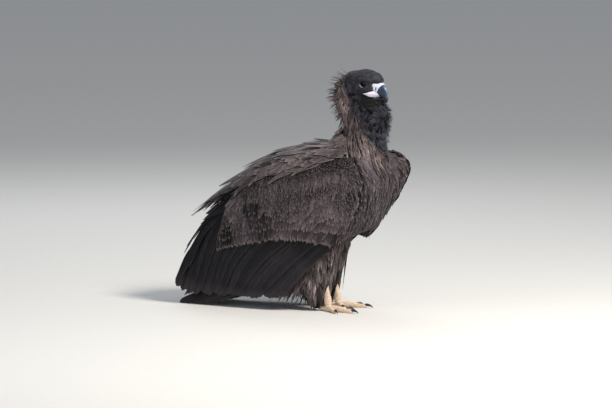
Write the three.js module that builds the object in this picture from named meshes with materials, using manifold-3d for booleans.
// A life-size still model of a cinereous vulture, the Eurasian black vulture, Aegypius monachus.
// The bird stands on both feet with its wings loosely folded and drooping, so that the tips of the
// primaries touch the ground behind it, and it looks a little to its right.
// Millimetres. +Z is up, the bird faces -Y, and its left side is +X. The origin is the centre of the
// foot of the bounding box, on the ground.
import * as THREE from "three";
import { mergeVertices } from "three/addons/utils/BufferGeometryUtils.js";
import Module from "manifold-3d";

// Driving sizes.
const CROWN_HEIGHT = 800; // ground to the crown, standing alert
const HEAD_YAW = THREE.MathUtils.degToRad(-11); // the head's turn to the bird's right
const HEAD_RADIUS = 47; // middle of the head to the crown, down included
const SHELL_HALF_WIDTH = 177; // mid-plane to the outside of a folded wing, at the widest
const BACK_ROLL = 125; // how far below the back line a folded wing reaches its full width
const FLANK_TUCK = 0.2; // share of the width that the wing loses down to the ground
const EYE_RADIUS = 10.5;
const LEG_SPACING = 66; // mid-plane to the middle of a foot
const RIGHT_FOOT = 10; // how far each foot stands ahead of the bird's own zero
const LEFT_FOOT = -25;
const GAP = 0.4; // clear space between touching pieces
const SECONDARIES = 10; // flight feathers that show on each folded wing
const PRIMARIES = 5;
const SCAPULARS = 4;
const TAIL_FEATHERS = 10;

const HEAD_CENTRE = { f: 114, h: CROWN_HEIGHT - HEAD_RADIUS };

const COLOURS = {
  plumage: { color: 0x3a3230, roughness: 0.85, metalness: 0 },
  flight: { color: 0x25232a, roughness: 0.7, metalness: 0 },
  ruff: { color: 0x54463f, roughness: 0.9, metalness: 0 },
  down: { color: 0x2c2a2b, roughness: 0.95, metalness: 0 },
  horn: { color: 0x26323c, roughness: 0.35, metalness: 0 },
  cere: { color: 0xd6d2e0, roughness: 0.55, metalness: 0 },
  leg: { color: 0xddd2c6, roughness: 0.75, metalness: 0 },
  claw: { color: 0x23262a, roughness: 0.4, metalness: 0 },
  eye: { color: 0x120d0a, roughness: 0.08, metalness: 0 },
};

const wasm = await Module();
wasm.setup();

// ---- Points, tables and curves

// A point in the bird's own terms: forward of its zero, to its left, and above the ground.
const at = (forward, left, up) => new THREE.Vector3(left, -forward, up);

// A smooth function through rows of [where, value, value, ...], level beyond both ends.
function table(rows) {
  const slope = (i, k) => {
    const a = rows[Math.max(i - 1, 0)];
    const b = rows[Math.min(i + 1, rows.length - 1)];
    return (b[k] - a[k]) / (b[0] - a[0]);
  };
  return (where, k = 1) => {
    const first = rows[0];
    const last = rows[rows.length - 1];
    if (where <= first[0]) return first[k];
    if (where >= last[0]) return last[k];
    const i = rows.findIndex((row) => row[0] > where) - 1;
    const [a, b] = [rows[i], rows[i + 1]];
    const span = b[0] - a[0];
    const t = (where - a[0]) / span;
    const keepA = 2 * t ** 3 - 3 * t ** 2 + 1;
    const bendA = t ** 3 - 2 * t ** 2 + t;
    const bendB = t ** 3 - t ** 2;
    return keepA * a[k] + (1 - keepA) * b[k] + span * (bendA * slope(i, k) + bendB * slope(i + 1, k));
  };
}

// A smooth line through a few pairs of numbers, asked for at a share from 0 to 1.
function lineThrough(pairs) {
  const line = table(pairs.map(([a, b], i) => [i / (pairs.length - 1), a, b]));
  return (share) => [line(share, 1), line(share, 2)];
}

// A smooth surface of such pairs: u runs along each row, and v from the first row to the last.
function surfaceThrough(rows) {
  const lines = rows.map(lineThrough);
  return (u, v) => lineThrough(lines.map((line) => line(u)))(v);
}

// ---- The shell that a folded wing lies on, as a height field over the bird's side

const backHeight = table([
  [-560, 216], [-500, 286], [-428, 367], [-340, 441], [-271, 490], [-201, 524],
  [-108, 548], [-14, 560], [60, 563], [140, 550], [200, 524],
]);

const halfWidth = table([
  [-560, 0.64], [-500, 0.69], [-400, 0.79], [-300, 0.89], [-200, 0.97],
  [-100, 1], [0, 0.99], [100, 0.93], [160, 0.88], [210, 0.78],
]);

function flank(f, h) {
  const drop = backHeight(f) - h;
  const round = Math.min(Math.max(drop, 0) / BACK_ROLL, 1);
  const tuck = Math.max(drop - BACK_ROLL, 0) / CROWN_HEIGHT;
  return SHELL_HALF_WIDTH * halfWidth(f) * (Math.sqrt(1 - (1 - round) ** 2) - FLANK_TUCK * tuck);
}

// A point inset from the shell along its normal, on the right (-1) or left (+1) side.
function onFlank(side, f, h, inset) {
  const STEP = 2;
  const steepest = 2.2;
  const slopeF = (flank(f + STEP, h) - flank(f - STEP, h)) / (2 * STEP);
  const rawSlopeH = (flank(f, h + STEP) - flank(f, h - STEP)) / (2 * STEP);
  const slopeH = Math.max(rawSlopeH, -steepest);
  const length = Math.hypot(slopeF, 1, slopeH);
  const s = flank(f, h) - inset / length;
  return at(f + (slopeF * inset) / length, side * s, h + (slopeH * inset) / length);
}

// ---- Ways of making solids

function solidOf(geometry) {
  const bare = new THREE.BufferGeometry();
  bare.setAttribute("position", geometry.getAttribute("position"));
  bare.setIndex(geometry.getIndex());
  const merged = mergeVertices(bare, 1e-3);
  const solid = new wasm.Manifold(
    new wasm.Mesh({
      numProp: 3,
      vertProperties: merged.getAttribute("position").array,
      triVerts: new Uint32Array(merged.getIndex().array),
    }),
  );
  if (solid.volume() > 0) return solid;
  const corners = merged.getIndex().array;
  for (let i = 0; i < corners.length; i += 3) {
    [corners[i + 1], corners[i + 2]] = [corners[i + 2], corners[i + 1]];
  }
  return solidOf(merged);
}

// Moves every vertex of a stock geometry to place(vertex).
function moulded(geometry, place) {
  const position = geometry.getAttribute("position");
  const vertex = new THREE.Vector3();
  for (let i = 0; i < position.count; i++) {
    vertex.fromBufferAttribute(position, i);
    position.setXYZ(i, ...place(vertex).toArray());
  }
  return geometry;
}

// A round-ended body along a smooth path. Each station is { p, across, deep }: a point, the half size
// along the side axis, and the half size square to that and to the path. Squareness 1 is an ellipse.
function swept(stations, { around = 20, along = 14, side = at(0, 1, 0), grow = 0, square = 1 } = {}) {
  const path = new THREE.CatmullRomCurve3(stations.map((s) => s.p), false, "catmullrom", 0.5);
  const sizes = table(stations.map((s, i) => [i / (stations.length - 1), s.across ** 2, s.deep ** 2]));
  const round = (x) => Math.sign(x) * Math.abs(x) ** square;
  const place = (v) => {
    const share = (1 - v.y) / 2;
    const ring = Math.hypot(v.x, v.z);
    const tangent = path.getTangent(share);
    const point = path.getPoint(share);
    if (ring < 1e-6) return point.addScaledVector(tangent, share > 0.5 ? grow : -grow);
    const across = side.clone().addScaledVector(tangent, -side.dot(tangent)).normalize();
    const deep = new THREE.Vector3().crossVectors(tangent, across);
    const [halfAcross, halfDeep] = [1, 2].map((k) => Math.sqrt(Math.max(sizes(share, k), 0)) + grow);
    return point
      .addScaledVector(across, halfAcross * round(v.x / ring))
      .addScaledVector(deep, halfDeep * round(v.z / ring));
  };
  return solidOf(moulded(new THREE.SphereGeometry(1, around, along), place));
}

// A sheet of overlapping feathers. surface(u, v, inset) gives its points: u runs across the feathers and
// v along them, root to tip. Each feather lifts its far edge over the next, and ends in a slanted tip.
function featherSheet(surface, { count, rows, thick, inset, lift = 0, notch = 0, grow = 0 }) {
  const FAR_EDGE = 0.93;
  const NEARBY = 0.01;
  const stepped = lift !== 0;
  const columns = stepped ? count * 2 : count;
  const place = (p) => {
    const column = Math.round((p.x + 0.5) * columns);
    const feather = Math.min(Math.floor(column / 2), count - 1);
    const local = column === columns ? 1 : column % 2 ? FAR_EDGE : 0;
    const u = stepped ? (feather + local) / count : column / columns;
    const v = (p.y + 0.5) * (1 - (stepped ? notch * (1 - local) : 0));
    const raised = stepped ? lift * local * Math.min(4 * v, 1) : 0;
    const depth = inset(u, v) - raised + (p.z > 0 ? -grow : thick(u, v) + grow);
    const point = surface(u, v, depth);
    const outwards = (du, dv) => point.clone().sub(surface(u - du, v - dv, depth)).setLength(grow);
    if (grow && Math.abs(p.x) > 0.499) point.add(outwards(Math.sign(p.x) * NEARBY, 0));
    if (grow && Math.abs(p.y) > 0.499) point.add(outwards(0, Math.sign(p.y) * NEARBY));
    return point;
  };
  return solidOf(moulded(new THREE.BoxGeometry(1, 1, 1, columns, rows, 1), place));
}

// A bent patch of the flank, through rows of [forward, up] points from its roots to its tips.
function flankPatch(side, rows) {
  const place = surfaceThrough(rows);
  return (u, v, inset) => onFlank(side, ...place(u, v), inset);
}

// The same, through rows of [forward, how far below the back line].
function backPatch(side, rows) {
  const place = surfaceThrough(rows);
  return (u, v, inset) => {
    const [f, drop] = place(u, v);
    return onFlank(side, f, backHeight(f) - drop, inset);
  };
}

// What is left of a solid once others are taken out of it, less any loose crumbs.
function without(solid, ...others) {
  const left = others.reduce((rest, other) => rest.subtract(other), solid);
  return left.decompose().sort((a, b) => b.volume() - a.volume())[0];
}

function halfSpace(point, normal) {
  const SIZE = 3000;
  const box = new THREE.BoxGeometry(SIZE, SIZE, SIZE).translate(0, 0, SIZE / 2);
  const turn = new THREE.Quaternion().setFromUnitVectors(at(0, 0, 1), normal.clone().normalize());
  return solidOf(box.applyQuaternion(turn).translate(...point.toArray()));
}

function moved(solid, matrix) {
  return solid.transform(matrix.elements);
}

const clamp01 = (x) => Math.min(Math.max(x, 0), 1);

const vulture = new THREE.Group();

function add(parent, name, solid, finish) {
  const { vertProperties, triVerts } = solid.getMesh();
  const geometry = new THREE.BufferGeometry();
  geometry.setAttribute("position", new THREE.BufferAttribute(vertProperties, 3));
  geometry.setIndex(new THREE.BufferAttribute(triVerts, 1));
  const mesh = new THREE.Mesh(geometry, new THREE.MeshStandardMaterial(COLOURS[finish]));
  mesh.name = name;
  parent.add(mesh);
}

const SIDES = [
  { name: "right", side: -1, foot: RIGHT_FOOT },
  { name: "left", side: 1, foot: LEFT_FOOT },
];

// ---- Trunk, neck and the collar of long feathers behind the head

const station = (f, h, across, deep, s = 0) => ({ p: at(f, s, h), across, deep });

const trunkBody = (grow) =>
  swept(
    [
      station(198, 405, 0, 0),
      station(178, 410, 74, 82),
      station(114, 414, 120, 142),
      station(30, 400, 128, 160),
      station(-70, 382, 126, 150),
      station(-160, 362, 114, 140),
      station(-240, 342, 90, 118),
      station(-310, 315, 60, 86),
      station(-352, 298, 0, 0),
    ],
    { around: 18, along: 12, grow },
  );

const neckBody = (grow) =>
  swept(
    [
      station(62, 430, 0, 0),
      station(88, 478, 124, 110),
      station(104, 530, 90, 82),
      station(113, 584, 66, 68),
      station(122, 636, 64, 74),
      station(124, 680, 58, 70),
      station(110, 714, 38, 42),
      station(102, 730, 0, 0),
    ],
    { around: 16, along: 9, grow },
  );

const ruffBody = (grow) =>
  swept(
    [
      station(76, 780, 0, 0),
      station(50, 763, 32, 13),
      station(38, 739, 43, 22),
      station(40, 706, 52, 31),
      station(56, 666, 58, 26),
      station(74, 624, 56, 18),
      station(84, 580, 0, 0),
    ],
    { around: 12, along: 8, grow },
  );

// ---- Head: built about its own centre, looking along -Y

const headPose = new THREE.Matrix4().compose(
  at(HEAD_CENTRE.f, 0, HEAD_CENTRE.h),
  new THREE.Quaternion().setFromAxisAngle(new THREE.Vector3(0, 0, 1), HEAD_YAW),
  new THREE.Vector3(1, 1, 1),
);

const skull = (grow) =>
  swept(
    [
      station(-58, 2, 0, 0),
      station(-42, 4, 33, 34),
      station(-6, 2, 45, 46.5),
      station(20, 1, 43, 45),
      station(40, 5, 34, 40),
      station(53, 12, 22, 22),
      station(60, 16, 0, 0),
    ],
    { around: 18, along: 11, grow, square: 0.92 },
  );

const brow = (side) =>
  swept(
    [
      station(0, 16, 0, 0, side * 40),
      station(14, 18, 6, 4, side * 39),
      station(32, 15, 7, 4, side * 34),
      station(48, 8, 0, 0, side * 22),
    ],
    { around: 6, along: 4, side: at(0, 0.5, 1) },
  );

const EYE = { f: 20, s: 35, h: 1 };
const ORBIT_RADIUS = 14;
const ball = (radius, f, s, h, around, along) =>
  solidOf(new THREE.SphereGeometry(radius, around, along).translate(...at(f, s, h).toArray()));

// The whole upper bill, cere and horn in one: deep at the root, then bent down into its hook.
const wholeBill = (grow) =>
  swept(
    [
      station(34, -12, 0, 0),
      station(42, -12, 17, 18),
      station(56, -13, 16.5, 20),
      station(70, -18, 14, 19.5),
      station(80, -28, 10.5, 15),
      station(87, -41, 6.5, 11),
      station(91, -56, 0, 0),
    ],
    { around: 14, along: 10, grow, square: 0.9 },
  );

// The fleshy corner of the mouth, from the cere back below the eye.
const gape = (side, grow) =>
  swept(
    [
      station(22, -26, 0, 0, side * 38),
      station(33, -28, 4, 4.5, side * 35),
      station(47, -29, 4.5, 8, side * 26),
      station(60, -29, 4, 9, side * 14),
      station(68, -29, 0, 0, side * 7),
    ],
    { around: 6, along: 5, grow },
  );

const lowerBill = (grow) =>
  swept(
    [
      station(22, -36, 0, 0),
      station(34, -38.5, 18, 7),
      station(52, -42.5, 13, 7),
      station(66, -44.5, 8.5, 6),
      station(75, -44, 0, 0),
    ],
    { around: 10, along: 5, grow },
  );

const CERE_SWELL = 1.6; // how far the cere stands proud of the horn
const CERE_TOP = at(78, 0, -1);
const CERE_EDGE_NORMAL = at(29, 0, -15).normalize(); // square to the cere's front edge, pointing at the horn
const NOSTRIL = { f: 59, h: -11, s: 17, radius: 3 };

const joined = (solids) => solids.reduce((all, one) => all.add(one));
const bothSides = (make) => [make(-1), make(1)];

const horn = wholeBill(0).intersect(halfSpace(CERE_TOP, CERE_EDGE_NORMAL));
const pastCere = halfSpace(CERE_TOP.clone().addScaledVector(CERE_EDGE_NORMAL, -GAP), CERE_EDGE_NORMAL);
const nostrils = bothSides((side) => ball(NOSTRIL.radius, NOSTRIL.f, side * NOSTRIL.s, NOSTRIL.h, 6, 4));
const bareFace = (grow) => joined([wholeBill(CERE_SWELL + grow), ...bothSides((side) => gape(side, grow))]);
const cere = without(bareFace(0), pastCere, ...nostrils);
const jaw = without(lowerBill(0), bareFace(GAP));

const eye = (side, grow) => ball(EYE_RADIUS + grow, EYE.f, side * EYE.s, EYE.h, 12, 7);
const orbit = (side) => ball(ORBIT_RADIUS, EYE.f + 4, side * (EYE.s + 13), EYE.h, 10, 6);
const browed = joined([skull(0), ...bothSides(brow)]);
const hollows = bothSides(orbit).concat(bothSides((side) => eye(side, GAP)));
const head = without(browed, ...hollows, bareFace(GAP), lowerBill(GAP));

const headGroup = new THREE.Group();
headGroup.applyMatrix4(headPose);
vulture.add(headGroup);
add(headGroup, "head", head, "down");
add(headGroup, "cere", cere, "cere");
add(headGroup, "bill_upper", horn, "horn");
add(headGroup, "bill_lower", jaw, "cere");
SIDES.forEach(({ name, side }) => add(headGroup, `eye_${name}`, eye(side, 0), "eye"));

const headInPlace = moved(joined([skull(GAP), lowerBill(GAP), bareFace(GAP)]), headPose);
add(vulture, "neck", without(neckBody(0), headInPlace, trunkBody(GAP)), "down");
add(vulture, "ruff", without(ruffBody(0), headInPlace, neckBody(GAP)), "ruff");

// ---- Wings: coverts over the arm, secondaries and primaries below them, scapulars above

// The leading edge of each folded wing, from the shoulder over the wrist down to the lowest covert.
const LEADING_EDGE = {
  right: [[118, 530], [172, 440], [140, 325], [62, 222]],
  left: [[146, 534], [214, 458], [136, 336], [30, 224]],
};

// The foremost secondary and primary of each wing, from root to tip.
const FRONT_SECONDARY = {
  right: [[100, 262], [-28, 158], [-140, 46]],
  left: [[58, 264], [-82, 158], [-184, 46]],
};
const FRONT_PRIMARY = {
  right: [[50, 214], [-185, 90], [-440, 12]],
  left: [[0, 214], [-205, 92], [-440, 12]],
};

const FLIGHT = { rows: 5, thick: () => 3.5 };
const ARM_THICKNESS = 40;
const COVERT_THICKNESS = 9;

// From 0 over the arm to 1 at the coverts' tips, sooner towards the elbow.
const thinning = (u, v) => clamp01(Math.max(1.5 * v - 0.35, 0) * (1 - 0.3 * u) + 0.3 * u);

function wing(name, side) {
  const edge = LEADING_EDGE[name];
  const front = FRONT_SECONDARY[name];
  const foremost = FRONT_PRIMARY[name];
  const scapulars = (grow) =>
    featherSheet(
      backPatch(side, [
        [[86, 40], [86, 20], [86, 0.3]],
        [[-90, 82], [-90, 40], [-90, 0.3]],
        [[-290, 74], [-290, 34], [-290, 0.3]],
        [[-492, 22], [-506, 12], [-500, 4]],
      ]),
      { count: SCAPULARS, rows: 7, grow, lift: 3, notch: 0.05, thick: () => 6, inset: () => 0 },
    );
  const coverts = (grow) =>
    featherSheet(
      flankPatch(side, [
        [edge[0], [20, 508], [-110, 476], [-230, 434], [-305, 388]],
        [edge[1], [60, 430], [-90, 410], [-235, 375], [-330, 330]],
        [edge[2], [30, 335], [-110, 330], [-255, 305], [-352, 265]],
        [edge[3], [-30, 234], [-130, 232], [-250, 214], [-366, 190]],
      ]),
      {
        count: 9,
        rows: 6,
        grow,
        thick: (u, v) => THREE.MathUtils.lerp(ARM_THICKNESS, COVERT_THICKNESS, thinning(u, v)),
        inset: () => 10,
      },
    );
  const secondaries = (grow) =>
    featherSheet(
      flankPatch(side, [
        [front[0], [40, 268], [-60, 275], [-170, 300], [-262, 346], [-296, 384]],
        [front[1], [-98, 157], [-200, 166], [-304, 188], [-395, 234], [-438, 280]],
        [front[2], [-215, 42], [-300, 40], [-385, 42], [-470, 46], [-550, 66]],
      ]),
      { ...FLIGHT, count: SECONDARIES, grow, lift: -3, notch: 0.04, inset: (u, v) => 28 - 6 * v },
    );
  const primaries = (grow) =>
    featherSheet(
      flankPatch(side, [
        [foremost[0], [-2, 217], [-48, 222]],
        [foremost[1], [-232, 102], [-281, 120]],
        [foremost[2], [-500, -3], [-556, -3]],
      ]),
      { ...FLIGHT, count: PRIMARIES, grow, lift: -2, notch: 0.05, inset: () => 40 },
    );
  return { scapulars, coverts, secondaries, primaries };
}

// ---- Tail: a narrow folded fan between the wings, its middle feathers on top

const TAIL = {
  root: { f: -300, h: 330, half: 34 },
  tip: { f: -560, h: 17, half: 62 },
  curve: 21, // how far the fan bows up and back between root and tip
  arch: 26, // how far its edges lie below its middle
  wedge: 0.1, // how much shorter the outer feathers are
};

function tailSheet(grow) {
  const { root, tip, curve, arch, wedge } = TAIL;
  const length = Math.hypot(tip.f - root.f, tip.h - root.h);
  const square = { f: (tip.h - root.h) / length, h: -(tip.f - root.f) / length };
  const surface = (u, v, inset) => {
    const across = 2 * u - 1;
    const reach = v * (1 - wedge * across ** 2);
    const out = curve * Math.sin(Math.PI * reach) - arch * across ** 2 - inset;
    return at(
      THREE.MathUtils.lerp(root.f, tip.f, reach) + square.f * out,
      across * THREE.MathUtils.lerp(root.half, tip.half, reach),
      THREE.MathUtils.lerp(root.h, tip.h, reach) + square.h * out,
    );
  };
  return featherSheet(surface, { count: TAIL_FEATHERS, rows: 5, grow, thick: () => 5, inset: () => 0 });
}

// ---- Legs: feathered thighs, bare shanks, and flat-soled feet with four toes

const thighBody = (side, foot, grow) =>
  swept(
    [
      station(foot + 24, 352, 0, 0, side * 72),
      station(foot + 2, 300, 50, 66, side * 70),
      station(foot - 26, 220, 50, 70, side * 66),
      station(foot - 48, 140, 46, 66, side * LEG_SPACING),
      station(foot - 48, 96, 40, 56, side * LEG_SPACING),
      station(foot - 40, 64, 26, 36, side * LEG_SPACING),
      station(foot - 34, 46, 0, 0, side * LEG_SPACING),
    ],
    { around: 12, along: 8, grow },
  );

const shankBody = (side, foot, grow) =>
  swept(
    [
      station(foot - 26, 132, 0, 0, side * LEG_SPACING),
      station(foot - 18, 112, 10, 12, side * LEG_SPACING),
      station(foot - 6, 66, 9, 11, side * LEG_SPACING),
      station(foot + 1, 30, 11, 13, side * LEG_SPACING),
      station(foot + 3, 8, 0, 0, side * LEG_SPACING),
    ],
    { around: 8, along: 5, grow },
  );

const TOES = [
  { name: "inner", turn: 46, length: 66, thick: 8.5, claw: 34 },
  { name: "middle", turn: -9, length: 104, thick: 9, claw: 32 },
  { name: "outer", turn: -42, length: 74, thick: 8, claw: 27 },
  { name: "hind", turn: 162, length: 38, thick: 8, claw: 31 },
];
const TOE_AXIS = 6.2; // height of a toe's middle, a little under its half thickness
const KNUCKLE = 4; // how far a toe rises between its root and its tip

// A station of a toe or claw of the foot whose root is at the origin, so far out and up.
function toeStation({ turn }, side, reach, up, radius) {
  const angle = THREE.MathUtils.degToRad(turn);
  const p = at(reach * Math.cos(angle), -side * reach * Math.sin(angle), TOE_AXIS + up);
  return { p, across: radius, deep: radius * 0.9 };
}

function toe(sizes, side, grow) {
  const { length, thick } = sizes;
  const joint = (share, rise, radius) => toeStation(sizes, side, share * length, rise, radius);
  const stations = [
    joint(-0.12, 3, 0),
    joint(0.06, 2, thick + 1.5),
    joint(0.4, KNUCKLE, thick),
    joint(0.72, 0, thick * 0.86),
    joint(0.93, 0, thick * 0.75),
    joint(1, 1.5, 0),
  ];
  return swept(stations, { around: 8, along: 5, grow, side: at(0, 0, 1) });
}

function claw(sizes, side, grow) {
  const { length, claw: reach, thick } = sizes;
  const bend = (share, rise, radius) => toeStation(sizes, side, length * 0.9 + share * reach, rise, radius);
  const stations = [
    bend(0, 1.5, 0),
    bend(0.1, 2.5, thick * 0.5),
    bend(0.4, 4, thick * 0.46),
    bend(0.8, 0.5, thick * 0.26),
    bend(1, -4.6, 0),
  ];
  return swept(stations, { around: 6, along: 5, grow, side: at(0, 0, 1) });
}

// ---- Assembly: each piece is trimmed by the pieces it meets

const underground = halfSpace(at(0, 0, 0), at(0, 0, -1));
const trunkRoom = trunkBody(GAP);
const tailCuts = [trunkRoom];

SIDES.forEach(({ name, side, foot }) => {
  const { scapulars, coverts, secondaries, primaries } = wing(name, side);
  const thigh = (grow) => thighBody(side, foot, grow);
  const neckRoom = [neckBody(GAP), ruffBody(GAP)];
  const overlying = [scapulars(GAP), coverts(GAP), secondaries(GAP)];
  const pieces = {
    scapulars: without(scapulars(0), ...neckRoom, trunkRoom),
    coverts: without(coverts(0), ...neckRoom, trunkRoom, overlying[0]),
    secondaries: without(secondaries(0), trunkRoom, ...overlying.slice(0, 2)),
    primaries: without(primaries(0), trunkRoom, ...overlying.slice(0, 3), thigh(GAP), underground),
  };
  const finishes = { scapulars: "plumage", coverts: "plumage", secondaries: "flight", primaries: "flight" };
  Object.keys(pieces).forEach((kind) => add(vulture, `wing_${name}_${kind}`, pieces[kind], finishes[kind]));
  tailCuts.push(...overlying, primaries(GAP));

  const footAt = at(foot, side * LEG_SPACING, 0);
  const footGroup = new THREE.Group();
  footGroup.position.copy(footAt);
  vulture.add(footGroup);
  const awayFromLeg = new THREE.Matrix4().makeTranslation(...footAt.clone().negate().toArray());
  const ontoLeg = awayFromLeg.clone().invert();
  const toes = joined(TOES.map((sizes) => toe(sizes, side, 0)));
  const shank = moved(shankBody(side, foot, 0), awayFromLeg);
  const clawRoots = TOES.map((sizes) => claw(sizes, side, GAP));
  add(footGroup, `foot_${name}`, without(toes.add(shank), ...clawRoots, underground), "leg");
  TOES.forEach((sizes) => {
    add(footGroup, `claw_${name}_${sizes.name}`, without(claw(sizes, side, 0), underground), "claw");
  });
  const toeRoom = moved(joined(TOES.map((sizes) => toe(sizes, side, GAP))), ontoLeg);
  const thighRoom = [trunkRoom, ...overlying, shankBody(side, foot, GAP), toeRoom];
  add(vulture, `thigh_${name}`, without(thigh(0), ...thighRoom), "plumage");
});

add(vulture, "tail", without(tailSheet(0), ...tailCuts, underground), "flight");
add(vulture, "trunk", trunkBody(0), "plumage");

// ---- The origin goes to the foot of the bounding box, at its middle

const model = new THREE.Group();
model.add(vulture);
const box = new THREE.Box3().setFromObject(vulture);
const middle = box.getCenter(new THREE.Vector3());
vulture.position.set(-middle.x, -middle.y, -box.min.z);

export default model;
